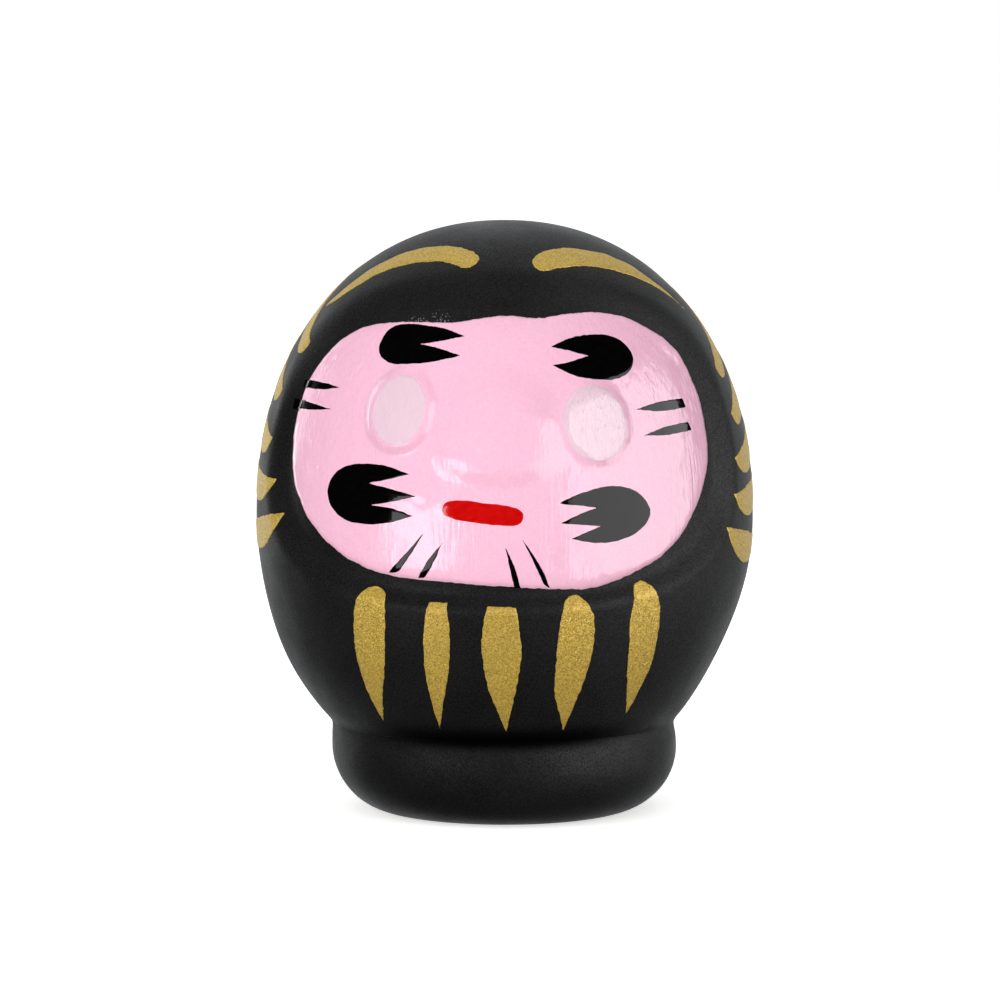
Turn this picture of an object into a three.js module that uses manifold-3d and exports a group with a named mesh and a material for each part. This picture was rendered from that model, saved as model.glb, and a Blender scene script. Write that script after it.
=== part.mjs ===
// Daruma doll: a hollow egg of papier-mache glued into a round clay weight, so that it stands by itself.
// A film of enamel covers the sunken face, and every brush stroke on it is a thin film of paint.
// Units are millimetres. +Z is up, the face looks along -Y, and the origin is the centre of the underside.
// Places on the skin are [angle, height]: degrees round the Z axis from the front, positive towards +X,
// and millimetres above the table. Left and right are the viewer's, so left is -X.
import * as THREE from "three";
import { mergeVertices } from "three/addons/utils/BufferGeometryUtils.js";
import Module from "manifold-3d";

const wasm = await Module();
wasm.setup();

// Driving dimensions
const HEIGHT = 60;
const BODY_RADIUS = 25.3;
const WAIST = HEIGHT / 2; // height of the widest ring
const UPPER_POWER = 2.15; // superellipse powers of the egg above and below its waist
const LOWER_POWER = 1.9;
const WALL = 1.6;

const BASE = { radius: 17.55, crease: 9.1, roundHeight: 6.2, roundWidth: 6.5, floor: 4.7, skewerHole: 3.1 };
const NECK = { outer: 14, inner: 12.4, foot: 5, top: 11.7 }; // the shell's collar, pressed into the clay
const JOINT_GAP = 0.3; // room for glue between the shell and the clay
const GLUE_BEAD = 1.5;

const FILM = { gap: 0.12, thickness: 0.25 }; // each coat of paint, and the gap under it
const SHELL_COAT = FILM.gap;
const FACE_COAT = FILM.gap * 2 + FILM.thickness;

const FACE = { angle: -2, z: 38.1, halfWidth: 26.2, halfHeight: 13.1, power: 2.6, depth: 1.3 };
const FACE_RIM = { from: 0.93, to: 1.13, toUnderForehead: 1.3 }; // where its slope is, in half sizes
const NOSE = { angle: -1.5, root: 50.5, tip: 39.5, lip: 37.4, foot: 33.6, height: 2.1, narrow: 3, wide: 6 };
const EYE = { top: 3.1, foot: 4.7, height: 0.95, paint: 3.5 };
const EYES = { left: [-27, 42], right: [22.2, 40.8] };
const GLABELLA = { z: 52.5, depth: 0.5, halfWidth: 4.5, halfHeight: 2.2 }; // the dip between the brows

// Mesh fineness: the face has finer columns and rows than the back
const FRONT_EDGE = 66;
const FRONT_STEP = 4.4;
const BACK_STEP = 11;
const FACE_ROWS = { from: 24, to: 52, count: 14 };
const LOWER_ROWS = 5;
const DOME_ROWS = 7;
const INNER_SEGMENTS = 24;
const BASE_SEGMENTS = 48;
const CURVE_STEPS = 2; // straight pieces between two outline points
const WEDGE = { near: 7.6, far: 90, steps: 11 }; // radii that a stencil's walls run between

const rad = THREE.MathUtils.degToRad;
const smooth = THREE.MathUtils.smoothstep;
const bell = (x) => Math.exp(-x * x);

// ---- The skin: its radius at an angle and a height ----

function eggRadius(z, inset = 0) {
  const t = (z - WAIST) / (WAIST - inset);
  const power = t < 0 ? LOWER_POWER : UPPER_POWER;
  return (BODY_RADIUS - inset) * Math.max(0, 1 - Math.abs(t) ** power) ** (1 / power);
}

function eyeBoss(arc, z) {
  return Object.values(EYES).reduce((sum, [angle, height]) => {
    const away = Math.hypot(arc - rad(angle) * BODY_RADIUS, z - height);
    return sum + EYE.height * (1 - smooth(away, EYE.top, EYE.foot));
  }, 0);
}

function nose(arc, z) {
  const down = THREE.MathUtils.clamp((NOSE.root - z) / (NOSE.root - NOSE.tip), 0, 1);
  const halfWidth = THREE.MathUtils.lerp(NOSE.narrow, NOSE.wide, down);
  const along = (1 - smooth(z, NOSE.tip, NOSE.root)) * smooth(z, NOSE.foot, NOSE.lip);
  return NOSE.height * bell((arc - rad(NOSE.angle) * BODY_RADIUS) / halfWidth) * along;
}

// The face lies in a shallow hollow, whose rim is wider under the forehead.
function faceHollow(arc, z) {
  const across = Math.abs(arc - rad(FACE.angle) * BODY_RADIUS) / FACE.halfWidth;
  const up = (z - FACE.z) / FACE.halfHeight;
  const out = (across ** FACE.power + Math.abs(up) ** FACE.power) ** (1 / FACE.power);
  const rim = THREE.MathUtils.lerp(FACE_RIM.to, FACE_RIM.toUnderForehead, smooth(up, 0.2, 0.9));
  return FACE.depth * (1 - smooth(out, FACE_RIM.from, rim));
}

function skinRadius(angle, z) {
  const arc = rad(angle) * BODY_RADIUS;
  const dip = GLABELLA.depth * bell(arc / GLABELLA.halfWidth) * bell((z - GLABELLA.z) / GLABELLA.halfHeight);
  return eggRadius(z) + eyeBoss(arc, z) + nose(arc, z) - faceHollow(arc, z) - dip;
}

function polar(radius, angle, z) {
  return new THREE.Vector3(radius * Math.sin(rad(angle)), -radius * Math.cos(rad(angle)), z);
}

const onSkin = (angle, z) => polar(skinRadius(angle, z), angle, z);

// A point at a distance off the skin, along its normal.
function skinPoint(angle, z, offset = 0) {
  const at = onSkin(angle, z);
  if (!offset) return at;
  const da = 0.5;
  const dz = 0.1;
  const round = onSkin(angle + da, z).sub(onSkin(angle - da, z));
  const rise = onSkin(angle, z + dz).sub(onSkin(angle, z - dz));
  return at.addScaledVector(round.cross(rise).normalize(), offset);
}

// ---- Grids of rings round the Z axis ----

const range = (from, to, count) => Array.from({ length: count }, (_, i) => from + ((to - from) * i) / count);

const frontColumns = range(-FRONT_EDGE, FRONT_EDGE, Math.round((2 * FRONT_EDGE) / FRONT_STEP));
const backColumns = range(FRONT_EDGE, 360 - FRONT_EDGE, Math.round((360 - 2 * FRONT_EDGE) / BACK_STEP));
const columns = [...frontColumns, ...backColumns];

// Rows crowd towards the pole, where the dome turns flat. The last is the rim of a tiny flat on top.
const domeRows = range(0, Math.PI / 2, DOME_ROWS).map(
  (a) => FACE_ROWS.to + (HEIGHT - FACE_ROWS.to) * Math.sin(a),
);
const rows = [
  ...range(BASE.crease + JOINT_GAP / 2, FACE_ROWS.from, LOWER_ROWS),
  ...range(FACE_ROWS.from, FACE_ROWS.to, FACE_ROWS.count),
  ...domeRows,
  HEIGHT - 0.001,
];

const wrap = (angle) => (angle > 180 ? angle - 360 : angle);
const ring = (z, offset) => columns.map((angle) => skinPoint(wrap(angle), z, offset));

// A closed surface through rings of equal length, whose first and last rings are filled with the
// triangles in cap.
function solidFromRings(rings, cap) {
  const n = rings[0].length;
  const triangles = [];
  for (let r = 0; r < rings.length - 1; r++) {
    for (let i = 0; i < n; i++) {
      const j = (i + 1) % n;
      const [a, b, c, d] = [r * n + i, r * n + j, (r + 1) * n + j, (r + 1) * n + i];
      triangles.push(a, b, c, a, c, d);
    }
  }
  const last = (rings.length - 1) * n;
  for (const [a, b, c] of cap) triangles.push(c, b, a, last + a, last + b, last + c);
  return toSolid(new THREE.BufferGeometry().setFromPoints(rings.flat()).setIndex(triangles));
}

// Triangles that fill a round ring of n points.
const fan = (n) => Array.from({ length: n - 2 }, (_, i) => [0, i + 1, i + 2]);

// The whole egg, at a distance off the skin.
const eggSolid = (offset) => solidFromRings(rows.map((z) => ring(z, offset)), fan(columns.length));

// ---- Between three.js geometry and manifold-3d solids ----

function toSolid(geometry) {
  for (const name of ["normal", "uv"]) geometry.deleteAttribute(name);
  const merged = mergeVertices(geometry, 1e-4);
  const mesh = new wasm.Mesh({
    numProp: 3,
    vertProperties: merged.attributes.position.array,
    triVerts: new Uint32Array(merged.index.array),
  });
  return new wasm.Manifold(mesh);
}

function toGeometry(solid) {
  const { vertProperties, triVerts } = solid.getMesh();
  const geometry = new THREE.BufferGeometry();
  geometry.setAttribute("position", new THREE.BufferAttribute(new Float32Array(vertProperties), 3));
  geometry.setIndex(new THREE.BufferAttribute(new Uint32Array(triVerts), 1));
  geometry.computeVertexNormals();
  return geometry;
}

const lathe = (profile, segments) =>
  new THREE.LatheGeometry(profile.map(([r, z]) => new THREE.Vector2(r, z)), segments).rotateX(Math.PI / 2);

// ---- The papier-mache shell ----

function shellSolid() {
  const neck = new THREE.CylinderGeometry(NECK.outer, NECK.outer, NECK.top - NECK.foot, INNER_SEGMENTS);
  neck.rotateX(Math.PI / 2).translate(0, 0, (NECK.top + NECK.foot) / 2);
  const hollow = lathe(hollowProfile(), INNER_SEGMENTS);
  return eggSolid(0).add(toSolid(neck)).subtract(toSolid(hollow));
}

// The hollow is a smaller egg, one wall and the depth of the face inside the skin, open through the neck.
function hollowProfile() {
  const inset = WALL + FACE.depth;
  const top = HEIGHT - inset;
  const heights = range(0, Math.PI, 11).map((a) => NECK.top + ((top - NECK.top) * (1 - Math.cos(a))) / 2);
  const below = NECK.foot - 1;
  return [
    [0, below],
    [NECK.inner, below],
    [NECK.inner, NECK.top],
    ...heights.map((z) => [eggRadius(z, inset), z]),
    [0, top],
  ];
}

// ---- The clay weight and its glue ----

function baseProfile() {
  const { radius, crease, roundHeight, roundWidth, floor, skewerHole } = BASE;
  const foot = radius - roundWidth;
  const edge = (a) => [foot + roundWidth * Math.sin(a), roundHeight * (1 - Math.cos(a))];
  const top = crease - JOINT_GAP / 2;
  const recess = NECK.outer + JOINT_GAP;
  return [
    [skewerHole, 0],
    ...range(0, Math.PI / 2, 8).map(edge),
    [radius, roundHeight],
    [radius, top],
    [recess, top],
    [recess, floor],
    [skewerHole, floor],
    [skewerHole, 0],
  ];
}

function glueProfile() {
  const outer = NECK.inner - JOINT_GAP;
  const low = BASE.floor + JOINT_GAP;
  return [[outer - GLUE_BEAD, low], [outer, low], [outer, low + GLUE_BEAD], [outer - GLUE_BEAD, low]];
}

// ---- Films of paint ----

// A coat is the whole skin's film at one height off it. A stroke is what its stencil cuts out of a coat.
function coat(offset) {
  return eggSolid(offset + FILM.thickness).subtract(eggSolid(offset));
}

// An outline is a list of smooth runs that meet in corners. A run starts where the one before it ends.
function runsToOutline(runs) {
  return runs.flatMap((run, i) => {
    const start = runs.at(i - 1).at(-1);
    return sampled([start, ...run], false).slice(1);
  });
}

function sampled(points, closed) {
  const curve = new THREE.CatmullRomCurve3(points.map(([a, z]) => new THREE.Vector3(a, z, 0)), closed);
  const pieces = closed ? points.length : points.length - 1;
  const steps = pieces === 1 ? 1 : pieces * CURVE_STEPS;
  const all = Array.from({ length: steps + 1 }, (_, i) => curve.getPoint(i / steps));
  return (closed ? all.slice(0, -1) : all).map((p) => [p.x, p.y]);
}

function circleOutline([angle, z], radius, sides = 28) {
  return range(0, 2 * Math.PI, sides).map((a) => {
    const turn = THREE.MathUtils.radToDeg((radius * Math.cos(a)) / BODY_RADIUS);
    return [angle + turn, z + radius * Math.sin(a)];
  });
}

// A stencil is a wedge that widens outwards from near the Z axis, with the outline as its section.
// Its walls twist, so they are built in short steps.
function stencil(outline) {
  const flat = outline.map(([a, z]) => new THREE.Vector2(a, z));
  if (THREE.ShapeUtils.isClockWise(flat)) flat.reverse();
  const growth = (WEDGE.far / WEDGE.near) ** (1 / WEDGE.steps);
  const radii = Array.from({ length: WEDGE.steps + 1 }, (_, i) => WEDGE.near * growth ** i);
  const rings = radii.map((r) => flat.map((p) => polar(r, p.x, p.y)));
  const cap = THREE.ShapeUtils.triangulateShape(flat, []);
  return solidFromRings(rings, cap);
}

// The enamel's hand-cut edge, clockwise from the middle of its top.
const faceOutline = sampled(
  [
    [0, 51.1], [10, 50.8], [23, 51.3], [38, 51], [47.5, 49.6],
    [55, 47.4], [58, 42.5], [56.9, 37.1], [53.8, 34.2],
    [43, 28.8], [29, 25.8], [19.5, 24.8], [6, 25], [-15, 25.6], [-32, 26.3], [-45, 28.6], [-57.4, 33.1],
    [-62.5, 38.4], [-62, 43.9], [-54.5, 48.4], [-40.5, 50.2], [-15.5, 50.4],
  ],
  true,
);

const mouthOutline = sampled(
  [[-15, 32.7], [-12, 33.4], [-1, 33.1], [4, 32.6], [4.6, 31.8], [1.2, 31.1], [-5.7, 31.5], [-12.5, 31.8]],
  true,
);

// Black strokes on the enamel. Each brow has two prongs and each half of the moustache three.
const FACE_STROKES = {
  brow_left: [
    [
      [-16.2, 46.8], [-25, 46.3], [-33.7, 46.4], [-38.3, 47.7],
      [-36.9, 49.5], [-27, 50], [-18, 49.7], [-11.4, 49],
    ],
    [[-24.4, 48.2]],
    [[-18, 47.8], [-12.2, 47.2]],
  ],
  brow_right: [
    [
      [18.7, 45.2], [29.7, 44.8], [36.4, 45.8], [38.2, 47.2],
      [34.5, 48.7], [27.6, 49.1], [19, 48.8], [13.1, 48],
    ],
    [[23.4, 47.1]],
    [[18, 46.6], [12.7, 46.3]],
  ],
  moustache_left: [
    [
      [-27, 31.2], [-35, 30.9], [-42.3, 31.5], [-46.4, 33.6],
      [-44.2, 35.6], [-37, 36.7], [-28.8, 36.6], [-22.4, 35.9],
    ],
    [[-33, 34.9]],
    [[-27, 34.4], [-20.3, 33.8]],
    [[-32.1, 32.8]],
    [[-26, 32.5], [-21.4, 31.9]],
  ],
  moustache_right: [
    [
      [19.4, 29.4], [27, 29.4], [33.5, 30.5], [36.2, 32],
      [34, 33.6], [27.5, 34.7], [19.5, 34.4], [12.4, 33.2],
    ],
    [[21.4, 32.7]],
    [[16.6, 32], [12.9, 31.3]],
    [[22.4, 30.9]],
    [[18.5, 30.3], [15.3, 29.8]],
  ],
  temple_whisker_left_upper: [[[-53, 44.1], [-62.4, 44.4]], [[-62.2, 43.5]], [[-53, 43.5], [-48.1, 43.8]]],
  temple_whisker_left_lower: [[[-54, 42], [-63.4, 42.5]], [[-63.5, 41.4]], [[-54, 41.5], [-48.6, 41.7]]],
  temple_whisker_right_upper: [[[43, 41.6], [52.4, 41.8]], [[51.9, 42.7]], [[42, 42.5], [34.7, 41.9]]],
  temple_whisker_right_lower: [[[44, 39.3], [52.6, 39.6]], [[51.9, 40.4]], [[43, 40.1], [35.8, 39.4]]],
  chin_whisker_left_outer: [[[-23.2, 28.3], [-28.1, 26.3]], [[-26, 26.2]], [[-22.4, 28], [-18.5, 30.5]]],
  chin_whisker_left_inner: [[[-17.5, 27.9], [-20.7, 25.9]], [[-19, 25.8]], [[-16.4, 27.6], [-13.9, 29.7]]],
  chin_whisker_right_inner: [[[1, 27.2], [2.3, 25]], [[3.8, 25]], [[2.1, 27.4], [0, 29.2]]],
  chin_whisker_right_outer: [[[6.7, 27.5], [9.6, 25]], [[10.8, 25]], [[7.8, 27.6], [4, 29.8]]],
};

// Gold strokes on the bare shell: two forehead sweeps and the five teardrops of the chest.
const GOLD_STROKES = {
  gold_forehead_left: [
    [
      [-66.5, 52.2], [-54.7, 54.8], [-38.3, 56], [-24, 56.1], [-14, 55.6],
      [-10.3, 56.5], [-21, 57.4], [-44.8, 57.3], [-61.2, 55.6], [-71.5, 51.6],
    ],
  ],
  gold_forehead_right: [
    [
      [64, 52.7], [50.2, 54.8], [34, 55.7], [20.4, 55.6], [13, 55.4],
      [11.1, 56.2], [22, 57.2], [40, 57.1], [57, 55.7], [69.5, 50.4],
    ],
  ],
  gold_chest_1: [
    [
      [-31.5, 16.6], [-29.3, 20.3], [-28.5, 24], [-31.5, 25],
      [-35.1, 24.2], [-38.6, 20], [-39.8, 14], [-39.1, 10.8],
    ],
  ],
  gold_chest_2: [
    [[-14.4, 16.1], [-12.9, 20.5], [-13.2, 23.6]],
    [[-17.6, 23.6]],
    [[-19.5, 20.1], [-20.3, 15], [-19.9, 10.4]],
  ],
  gold_chest_3: [
    [[3.3, 15.4], [4, 19.2], [2.6, 23.2]],
    [[-4, 23.3]],
    [[-5.6, 19.2], [-4, 14.4], [0.5, 10.3]],
  ],
  gold_chest_4: [
    [
      [13.4, 14.2], [12.7, 18.7], [13.6, 23.4], [16.9, 24.4],
      [20.6, 22.6], [21.9, 19.2], [20.7, 14.8], [18.2, 10.3],
    ],
  ],
  gold_chest_5: [
    [
      [34.6, 14.7], [31.7, 19], [30.5, 22.8], [32, 25.2],
      [36.4, 24.9], [39.6, 20.8], [40.6, 16], [38.4, 11.6],
    ],
  ],
};

// The claws of gold that fan out backwards beside the face, from the lowest up: where each one's front
// corner is on either side, how many degrees it runs back, and how much its point is above the corner.
const CLAWS = [
  { left: [-61.7, 30.8], right: [59.6, 29.9], sweep: 32, rise: -2 },
  { left: [-66, 34.4], right: [63.9, 33], sweep: 33, rise: 2.2 },
  { left: [-69.5, 38], right: [66, 36.6], sweep: 32, rise: 5 },
  { left: [-71.3, 42.6], right: [69, 40.2], sweep: 29, rise: 7.8 },
  { left: [-67.2, 47], right: [69.3, 44.8], sweep: 23, rise: 8.2 },
];
const CLAW_WIDTH = 3.3;

// A claw is sharp in front, bellies downwards behind the corner, and ends in a point.
function clawRuns([angle, z], { sweep, rise }) {
  const at = (share, down) => [
    angle + Math.sign(angle) * sweep * share,
    z + rise * share - CLAW_WIDTH * down,
  ];
  return [[at(0.05, 0.42), at(0.2, 0.85), at(0.42, 1), at(0.7, 0.75), at(1, 0)], [at(0.5, 0.04), at(0, 0)]];
}

// ---- Materials and assembly ----

const material = (color, roughness, metalness = 0) =>
  new THREE.MeshStandardMaterial({ color, roughness, metalness });
const MATERIALS = {
  blackShell: material("#303032", 0.6),
  blackClay: material("#2c2d2e", 0.6),
  glue: material("#b9a06a", 0.4),
  pinkEnamel: material("#fec1da", 0.15),
  eyeWhite: material("#f3dde4", 0.4),
  blackEnamel: material("#050505", 0.18),
  redEnamel: material("#cf0000", 0.2),
  gold: material("#b89a43", 0.45, 0.7),
};

const doll = new THREE.Group();

function addPart(name, geometry, finish) {
  const mesh = new THREE.Mesh(geometry, finish);
  mesh.name = name;
  doll.add(mesh);
}

const shellCoat = coat(SHELL_COAT);
const faceCoat = coat(FACE_COAT);
const addFilm = (name, layer, outline, finish) =>
  addPart(name, toGeometry(layer.intersect(stencil(outline))), finish);

addPart("body_shell", toGeometry(shellSolid()), MATERIALS.blackShell);
addPart("base_weight", lathe(baseProfile(), BASE_SEGMENTS), MATERIALS.blackClay);
addPart("glue_bead", lathe(glueProfile(), INNER_SEGMENTS), MATERIALS.glue);

addFilm("face_enamel", shellCoat, faceOutline, MATERIALS.pinkEnamel);
addFilm("mouth", faceCoat, mouthOutline, MATERIALS.redEnamel);
for (const [side, place] of Object.entries(EYES)) {
  addFilm(`eye_${side}`, faceCoat, circleOutline(place, EYE.paint), MATERIALS.eyeWhite);
}
for (const [name, runs] of Object.entries(FACE_STROKES)) {
  addFilm(name, faceCoat, runsToOutline(runs), MATERIALS.blackEnamel);
}
for (const [name, runs] of Object.entries(GOLD_STROKES)) {
  addFilm(name, shellCoat, runsToOutline(runs), MATERIALS.gold);
}
for (const side of ["left", "right"]) {
  CLAWS.forEach((claw, i) => {
    const outline = runsToOutline(clawRuns(claw[side], claw));
    addFilm(`gold_side_${side}_${i + 1}`, shellCoat, outline, MATERIALS.gold);
  });
}

export default doll;
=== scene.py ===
"""Looks of a small daruma doll: a hollow papier-mache egg on a clay weight, with its coats of paint.

Sizes are in millimetres until a mesh is made. A place on the skin is (arc, length): arc is the angle round
the Z axis from the front, times BODY_RADIUS, and length is measured up the egg's profile from its foot.
Left and right are the viewer's, so left is -X.
"""

import math

import bpy
import numpy as np
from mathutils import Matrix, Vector
from mathutils.geometry import delaunay_2d_cdt


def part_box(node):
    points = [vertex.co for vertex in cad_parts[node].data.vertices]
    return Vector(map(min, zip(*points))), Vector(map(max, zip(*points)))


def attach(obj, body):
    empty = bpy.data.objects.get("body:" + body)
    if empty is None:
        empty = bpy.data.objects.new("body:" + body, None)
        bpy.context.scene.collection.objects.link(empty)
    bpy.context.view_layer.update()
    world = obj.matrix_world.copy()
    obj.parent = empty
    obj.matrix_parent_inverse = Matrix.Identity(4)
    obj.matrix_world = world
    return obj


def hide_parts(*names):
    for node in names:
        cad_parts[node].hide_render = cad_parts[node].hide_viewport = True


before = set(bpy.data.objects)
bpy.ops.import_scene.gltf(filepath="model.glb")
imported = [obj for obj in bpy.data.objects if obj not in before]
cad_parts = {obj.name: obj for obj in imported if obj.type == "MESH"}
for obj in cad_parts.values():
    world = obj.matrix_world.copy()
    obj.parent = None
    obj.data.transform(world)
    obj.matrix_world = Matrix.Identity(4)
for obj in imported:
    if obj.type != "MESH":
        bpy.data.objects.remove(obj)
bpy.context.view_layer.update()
MM = 0.001

# ---- Sizes of the frame ----


def box_mm(node):
    low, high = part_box(node)
    return np.array(low) / MM, np.array(high) / MM


HEIGHT = box_mm("body_shell")[1][2]
WAIST = HEIGHT / 2
CREASE = box_mm("base_weight")[1][2] + 0.15
BASE_RADIUS = box_mm("base_weight")[1][0]
BODY_RADIUS = 25.3
UPPER_POWER = 2.15
LOWER_POWER = 1.9

# The sunken face, in half sizes from its middle, and what stands up or dips in the skin round it.
FACE = {"angle": -2, "z": 38.1, "half_width": 26.2, "half_height": 13.1, "power": 2.6, "depth": 1.3}
FACE_RIM = {"start": 1.03, "end": 1.19, "end_under_forehead": 1.35}
NOSE = {"angle": -1.5, "z": 38.8, "height": 0.8, "half_width": 8.6, "above": 8.0, "below": 4.5, "flat": 0.45}
GLABELLA = {"z": 52.5, "depth": 0.5, "half_width": 4.5, "half_height": 2.2}
EYE = {"top": 3.05, "foot": 4.5, "longer_outwards": 0.5, "dome": 0.06}
EYE_HEIGHTS = {"eye_left": 0.8, "eye_right": 0.5}
FLANK = {"z": 15, "half_height": 6, "bulge": 0.35}

# Where the egg meets its weight: a soft fillet, a groove round it, and painted shade that is darkest there.
FILLET = 0.32
GROOVE = {"depth": 0.2, "half_height": 0.8}
CREASE_SHADE = {"below": 1.6, "above": 2.6}

# The weight and the hollow of the shell.
FOOT = {"round_height": 6.8, "round_width": 6.0}
CORE = {"recess": 14.3, "floor": 4.7, "neck": 14.0, "neck_inner": 12.4, "neck_foot": 5.0, "skewer": 3.1}
WALL = 2.9
SEAM = 0.02
BEVEL = 0.3

# Steps between the columns of the shell, in front and behind, and between the points of other surfaces.
FRONT = math.radians(78)
FRONT_STEP = 0.36
BACK_STEP = 0.8
SKIN_STEP = 0.4
HOLLOW_STEP = 0.8
BASE_STEP = 0.7

# Coats of paint: thickness, width of the rounded edge and height of the bead inside it.
ENAMEL = {"thickness": 0.25, "edge": 1.1, "bead": 0.0}
STROKE = {"thickness": 0.035, "edge": 0.12, "bead": 0.0}
THIN = {"thickness": 0.05, "edge": 0.14, "bead": 0.01}
SUNK = 0.03
WIDE_MESH = {"spacing": 0.24, "step": 0.34}
FINE_MESH = {"spacing": 0.16, "step": 0.24}

# A thin coat lies nearer the skin than its film, so it is drawn wider, longer or higher to look the same.
SPREAD = (0.9, 0.03)
LONGER_TO_LEFT = {"temple_whisker_left_upper": 1.2, "temple_whisker_left_lower": 1.23}
LONGER_TAIL = {"gold_forehead_left": 1.03, "gold_forehead_right": 1.09}
RAISED = {
    "gold_side_left_5": 1.1,
    "gold_side_left_4": 0.7,
    "gold_side_left_3": 0.5,
    "gold_side_left_1": 0.4,
    "gold_side_right_5": 0.75,
    "gold_side_right_4": 0.75,
}
FILM_STANDS_OFF = 0.32
STEEPEST_TURN = 1.25
OVALS = {
    "eye_left": {"size": (0.89, 0.93), "power": 2, "tilt": 0, "shift": (0.38, 0)},
    "eye_right": {"size": (1.0, 1.03), "power": 2, "tilt": 0, "shift": (0, 0)},
    "mouth": {"size": (1, 1), "power": 3.6, "tilt": -6, "shift": (0, 0)},
}


def smoothstep(value, start, end):
    t = np.clip((value - start) / (end - start), 0, 1)
    return t * t * (3 - 2 * t)


def bell(value):
    return np.exp(-value * value)


def waves(points, seed, shortest, longest, size, count=14):
    """A smooth random field of the given size, as a sum of sine waves in random directions."""
    random = np.random.default_rng(seed)
    directions = random.normal(size=(count, points.shape[-1]))
    directions /= np.linalg.norm(directions, axis=1)[:, None]
    lengths = random.uniform(shortest, longest, count)
    phases = random.uniform(0, 2 * math.pi, count)
    turns = points @ (directions / lengths[:, None]).T * 2 * math.pi + phases
    return np.sin(turns).sum(axis=-1) * size / math.sqrt(count)


# ---- The skin of the egg ----


def egg_radius(z, inset=0.0):
    """A superellipse with its own power above and below the waist."""
    t = (z - WAIST) / (WAIST - inset)
    power = np.where(t < 0, LOWER_POWER, UPPER_POWER)
    return (BODY_RADIUS - inset) * np.clip(1 - np.abs(t) ** power, 0, 1) ** (1 / power)


def base_radius(z):
    """The clay weight's wall: a soft roll over a rounded foot."""
    down = np.clip(1 - z / FOOT["round_height"], 0, 1)
    foot = BASE_RADIUS - FOOT["round_width"]
    return foot + FOOT["round_width"] * np.sqrt(1 - down * down)


def wall_radius(z):
    """Egg and base melt into each other over a soft crease."""
    joined = np.logaddexp(egg_radius(z) / FILLET, base_radius(z) / FILLET) * FILLET
    joined = joined - GROOVE["depth"] * bell((z - CREASE) / GROOVE["half_height"])
    return np.where(z < WAIST, joined, egg_radius(z))


def place_of(node):
    """(arc, z) of the middle of a node on the skin."""
    low, high = box_mm(node)
    x, y, z = (low + high) / 2
    return math.atan2(x, -y) * BODY_RADIUS, z


EYES = [(*np.add(place_of(node), OVALS[node]["shift"]), height) for node, height in EYE_HEIGHTS.items()]


def eye_bumps(arc, z):
    """Low mounds with a flat top, whose slope is longer on the side that faces away from the nose."""
    total = 0
    for eye_arc, eye_z, height in EYES:
        away = np.hypot(arc - eye_arc, z - eye_z)
        outwards = (arc - eye_arc) * np.sign(eye_arc) / np.maximum(away, 1)
        foot = EYE["foot"] + EYE["longer_outwards"] * outwards
        dome = EYE["dome"] * np.clip(1 - (away / EYE["foot"]) ** 2, 0, 1)
        total = total + height * (1 - smoothstep(away, EYE["top"], foot)) + dome
    return total


def nose(arc, z):
    """A low round tip that runs up into the forehead and drops away quickly below."""
    up = z - NOSE["z"]
    up = up / np.where(up > 0, NOSE["above"], NOSE["below"])
    across = (arc - math.radians(NOSE["angle"]) * BODY_RADIUS) / NOSE["half_width"]
    return NOSE["height"] * (1 - smoothstep(np.hypot(across, up), NOSE["flat"], 1))


def face_hollow(arc, z):
    """How far the face is sunk: a superellipse with a soft rim, which is longest under the forehead."""
    across = np.abs(arc - math.radians(FACE["angle"]) * BODY_RADIUS) / FACE["half_width"]
    up = (z - FACE["z"]) / FACE["half_height"]
    out = (across ** FACE["power"] + np.abs(up) ** FACE["power"]) ** (1 / FACE["power"])
    end = FACE_RIM["end"] + (FACE_RIM["end_under_forehead"] - FACE_RIM["end"]) * smoothstep(up, 0.2, 0.9)
    return FACE["depth"] * (1 - smoothstep(out, FACE_RIM["start"], end))


def skin_radius(arc, z):
    angle = arc / BODY_RADIUS
    radius = wall_radius(z)
    plain = np.stack([radius * np.sin(angle), -radius * np.cos(angle), z], axis=-1)
    dip = GLABELLA["depth"] * bell(arc / GLABELLA["half_width"])
    dip = dip * bell((z - GLABELLA["z"]) / GLABELLA["half_height"])
    flank = -FLANK["bulge"] * np.sin(angle) * bell((z - FLANK["z"]) / FLANK["half_height"])
    lumps = waves(plain, 3, 9, 22, 0.035) + waves(plain, 4, 3.5, 7, 0.008)
    fade = smoothstep(HEIGHT - z, 0, 2)
    return radius + eye_bumps(arc, z) + nose(arc, z) - face_hollow(arc, z) - dip + flank + lumps * fade


# The profile from the crease to the pole, by its own length.
TURNS = np.linspace(math.asin((CREASE - WAIST) / WAIST), math.pi / 2, 4000)
PROFILE_Z = WAIST + WAIST * np.sin(TURNS)
PROFILE_LENGTH = np.concatenate(
    [[0], np.cumsum(np.hypot(np.diff(egg_radius(PROFILE_Z)), np.diff(PROFILE_Z)))]
)


def height_at(length):
    return WAIST + WAIST * np.sin(np.interp(length, PROFILE_LENGTH, TURNS))


def length_at(z):
    return np.interp(z, PROFILE_Z, PROFILE_LENGTH)


def polar(radius, angle, z):
    return np.stack([radius * np.sin(angle), -radius * np.cos(angle), z], axis=-1)


def on_skin(arc, length):
    """Points of the skin for arrays of places."""
    z = height_at(length)
    return polar(skin_radius(arc, z), arc / BODY_RADIUS, z)


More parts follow.
